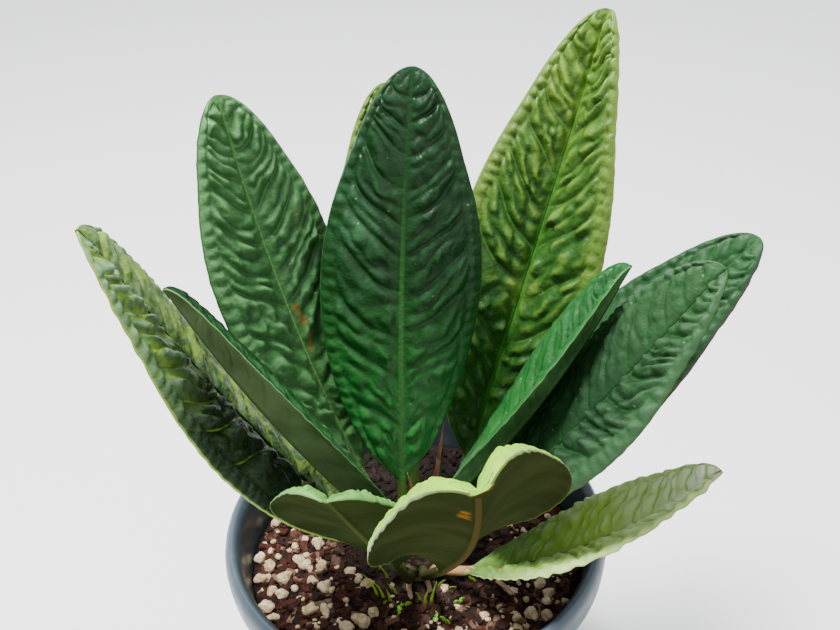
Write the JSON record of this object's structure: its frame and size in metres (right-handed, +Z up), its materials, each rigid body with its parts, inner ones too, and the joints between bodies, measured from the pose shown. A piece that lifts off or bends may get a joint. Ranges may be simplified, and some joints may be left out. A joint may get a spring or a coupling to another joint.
{
  "type": "potted anthurium superbum",
  "caption": "Stiff rosette of long quilted green leaves on short petioles, rising from bark and pumice mix in a round tapered nursery pot with a deep rim.",
  "frame": {"origin": "centre of the pot's flat foot, on the surface it stands on", "axes": "+Z up along the pot's axis, +X to the right and -Y to the front as in the picture"},
  "size_m": [0.2449, 0.2988, 0.3808],
  "materials": {
    "pot_plastic": "smooth translucent grey-green plastic",
    "bark_and_pumice": "loose red-brown bark chips with cream pumice",
    "stem_tissue": "matt tan stem, roots and dry sheaths",
    "leaf_dark": "waxy dark green blade, olive underside",
    "leaf_sheen": "waxy grey-green blade with yellow-green veins",
    "leaf_young": "waxy yellow-green young blade"
  },
  "bodies": {
    "root": {"pot": "pot_plastic", "potting_mix": "bark_and_pumice", "stem_and_roots": "stem_tissue", "leaf_front_centre": "leaf_dark", "leaf_front_left": "leaf_dark", "leaf_low_right": "leaf_sheen", "leaf_right_front": "leaf_dark", "leaf_right_folded": "leaf_dark", "leaf_right_back": "leaf_dark", "leaf_left_front": "leaf_sheen", "leaf_left_folded": "leaf_dark", "leaf_centre": "leaf_dark", "leaf_left_back": "leaf_dark", "leaf_tall_right": "leaf_young", "leaf_back": "leaf_young"}
  },
  "joints": []
}
